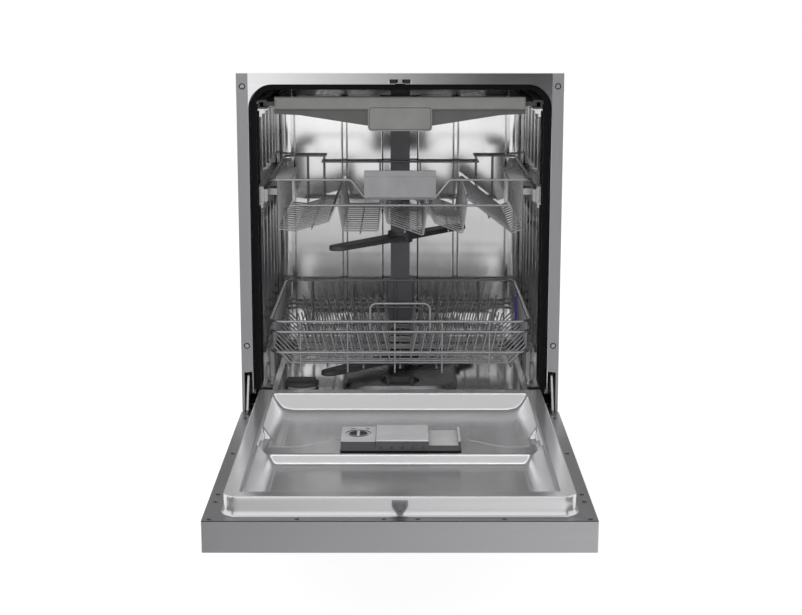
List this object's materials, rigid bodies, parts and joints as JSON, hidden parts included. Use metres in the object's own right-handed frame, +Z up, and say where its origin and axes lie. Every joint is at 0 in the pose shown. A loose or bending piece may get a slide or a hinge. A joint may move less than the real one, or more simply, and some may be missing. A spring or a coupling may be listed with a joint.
{
  "type": "undercounter dishwasher",
  "caption": "Undercounter dishwasher with its drop-down door open, wire racks and a cutlery tray that pull out, spray arms and a steel tub.",
  "frame": {"origin": "centre of the bounding box on the floor with the door open", "axes": "+X to the right seen from the front, +Y from the door to the back, +Z up"},
  "size_m": [0.598, 1.17, 0.815],
  "materials": {
    "stainless": "fine brushed stainless steel",
    "liner_steel": "fine brushed stainless steel",
    "panel_grey": "satin grey coated sheet",
    "galvanised": "spangled zinc coated sheet",
    "black_plastic": "matt black moulding",
    "dark_grey_plastic": "matt dark grey moulding",
    "mid_grey_plastic": "satin warm grey moulding",
    "light_grey_plastic": "satin light grey moulding",
    "white_plastic": "matt white moulding",
    "gasket_rubber": "matt black rubber",
    "wire_coat": "nylon coated wire",
    "bright_steel": "zinc plated",
    "purple_plastic": "purple moulding",
    "display_glass": "dark gloss window"
  },
  "bodies": {
    "cabinet": {"tub": "stainless", "front_frame": "stainless", "side_panel_left": "panel_grey", "side_panel_right": "panel_grey", "back_cover": "galvanised", "base_pan": "black_plastic", "kick_plate": "black_plastic", "levelling_feet": "dark_grey_plastic", "frame_screws": "bright_steel", "door_gasket": "gasket_rubber", "latch_housing": "black_plastic", "water_feed_duct": "dark_grey_plastic", "sump": "dark_grey_plastic", "filter_plate": "stainless", "circulation_pump": "dark_grey_plastic", "drain_pump": "dark_grey_plastic", "softener_tank": "white_plastic", "inlet_valve": "white_plastic", "hinge_brackets": "bright_steel", "balance_springs": "bright_steel", "tray_rails": "light_grey_plastic", "upper_rail_outer": "stainless"},
    "latch_hook": {"latch_hook": "bright_steel"},
    "filter_cylinder": {"filter_cylinder": "dark_grey_plastic"},
    "salt_cap": {"salt_cap": "dark_grey_plastic"},
    "lower_spray_arm": {"lower_spray_arm": "dark_grey_plastic"},
    "door": {"door_outer_panel": "stainless", "door_liner": "liner_steel", "control_fascia": "display_glass", "display_window": "display_glass", "control_board": "dark_grey_plastic", "handle_pocket": "black_plastic", "hinge_arms": "bright_steel", "door_strike": "mid_grey_plastic", "door_screws": "bright_steel", "dispenser_body": "light_grey_plastic"},
    "dispenser_lid": {"dispenser_lid": "light_grey_plastic"},
    "rinse_aid_cap": {"rinse_aid_cap": "light_grey_plastic"},
    "power_button": {"power_button": "dark_grey_plastic"},
    "program_button": {"program_button": "dark_grey_plastic"},
    "start_button": {"start_button": "dark_grey_plastic"},
    "lower_rack": {"lower_rack_rims": "wire_coat", "lower_rack_wires": "wire_coat", "lower_rack_tines": "wire_coat", "wheel_brackets": "light_grey_plastic", "rack_clip": "purple_plastic"},
    "fold_tines_front": {"fold_tines_front": "wire_coat"},
    "fold_tines_rear": {"fold_tines_rear": "wire_coat"},
    "wheels_front": {"wheels_front": "light_grey_plastic"},
    "wheels_rear": {"wheels_rear": "light_grey_plastic"},
    "upper_rail_middle": {"upper_rail_middle": "stainless"},
    "upper_rack": {"upper_rail_inner": "stainless", "upper_rack_rims": "wire_coat", "upper_rack_wires": "wire_coat", "upper_rack_grip": "light_grey_plastic", "upper_arm_feed": "dark_grey_plastic"},
    "upper_spray_arm": {"upper_spray_arm": "dark_grey_plastic"},
    "cup_shelf_left": {"cup_shelf_left": "wire_coat"},
    "cup_shelf_right": {"cup_shelf_right": "wire_coat"},
    "cutlery_tray": {"cutlery_tray": "mid_grey_plastic"}
  },
  "joints": [
    {"name": "door_hinge", "type": "hinge", "parent": "cabinet", "child": "door", "pos_m": [0, 0.0525, 0.1745], "axis": [1, 0, 0], "range_deg": [-90, 0], "deforming": ["balance_springs"]},
    {"name": "latch_turn", "type": "hinge", "parent": "cabinet", "child": "latch_hook", "pos_m": [0, 0.082, 0.8035], "axis": [1, 0, 0], "range_deg": [0, 10], "stiffness_Nm_per_rad": 0.05},
    {"name": "filter_turn", "type": "hinge", "parent": "cabinet", "child": "filter_cylinder", "pos_m": [0, 0.189, 0.16], "axis": [0, 0, 1], "range_deg": [0, 60]},
    {"name": "salt_cap_turn", "type": "hinge", "parent": "cabinet", "child": "salt_cap", "pos_m": [-0.193, 0.18, 0.195], "axis": [0, 0, 1], "range_deg": [0, 120]},
    {"name": "lower_arm_spin", "type": "hinge", "parent": "cabinet", "child": "lower_spray_arm", "pos_m": [0, 0.323, 0.225], "axis": [0, 0, 1], "continuous": true},
    {"name": "dispenser_lid_slide", "type": "slide", "parent": "door", "child": "dispenser_lid", "axis": [1, 0, 0], "range_m": [0, 0.05]},
    {"name": "rinse_aid_cap_turn", "type": "hinge", "parent": "door", "child": "rinse_aid_cap", "pos_m": [-0.072, -0.2, 0.207], "axis": [0, 0, 1], "range_deg": [0, 90]},
    {"name": "power_button_press", "type": "slide", "parent": "door", "child": "power_button", "axis": [0, 0, 1], "range_m": [0, 0.0015], "stiffness_N_per_m": 400},
    {"name": "program_button_press", "type": "slide", "parent": "door", "child": "program_button", "axis": [0, 0, 1], "range_m": [0, 0.0015], "stiffness_N_per_m": 400},
    {"name": "start_button_press", "type": "slide", "parent": "door", "child": "start_button", "axis": [0, 0, 1], "range_m": [0, 0.0015], "stiffness_N_per_m": 400},
    {"name": "lower_rack_slide", "type": "slide", "parent": "cabinet", "child": "lower_rack", "axis": [0, -1, 0], "range_m": [0, 0.48]},
    {"name": "fold_tines_front_turn", "type": "hinge", "parent": "lower_rack", "child": "fold_tines_front", "pos_m": [0, 0.2132, 0.25845], "axis": [-1, 0, 0], "range_deg": [0, 75]},
    {"name": "fold_tines_rear_turn", "type": "hinge", "parent": "lower_rack", "child": "fold_tines_rear", "pos_m": [0, 0.3412, 0.25845], "axis": [-1, 0, 0], "range_deg": [0, 75]},
    {"name": "wheels_front_roll", "type": "hinge", "parent": "lower_rack", "child": "wheels_front", "pos_m": [0, 0.157, 0.236], "axis": [1, 0, 0], "continuous": true},
    {"name": "wheels_rear_roll", "type": "hinge", "parent": "lower_rack", "child": "wheels_rear", "pos_m": [0, 0.477, 0.236], "axis": [1, 0, 0], "continuous": true},
    {"name": "upper_rail_slide", "type": "slide", "parent": "cabinet", "child": "upper_rail_middle", "axis": [0, -1, 0], "range_m": [0, 0.2]},
    {"name": "upper_rack_slide", "type": "slide", "parent": "upper_rail_middle", "child": "upper_rack", "axis": [0, -1, 0], "range_m": [0, 0.22]},
    {"name": "upper_arm_spin", "type": "hinge", "parent": "upper_rack", "child": "upper_spray_arm", "pos_m": [0, 0.323, 0.478], "axis": [0, 0, 1], "continuous": true},
    {"name": "cup_shelf_left_turn", "type": "hinge", "parent": "upper_rack", "child": "cup_shelf_left", "pos_m": [-0.236, 0.225, 0.61595], "axis": [0, -1, 0], "range_deg": [0, 75]},
    {"name": "cup_shelf_right_turn", "type": "hinge", "parent": "upper_rack", "child": "cup_shelf_right", "pos_m": [0.236, 0.225, 0.61595], "axis": [0, 1, 0], "range_deg": [0, 75]},
    {"name": "cutlery_tray_slide", "type": "slide", "parent": "cabinet", "child": "cutlery_tray", "axis": [0, -1, 0], "range_m": [0, 0.35]}
  ],
  "couplings": [
    {"joint": "wheels_front_roll", "follows": "lower_rack_slide", "rad_per_m": 55.556},
    {"joint": "wheels_rear_roll", "follows": "lower_rack_slide", "rad_per_m": 55.556}
  ]
}
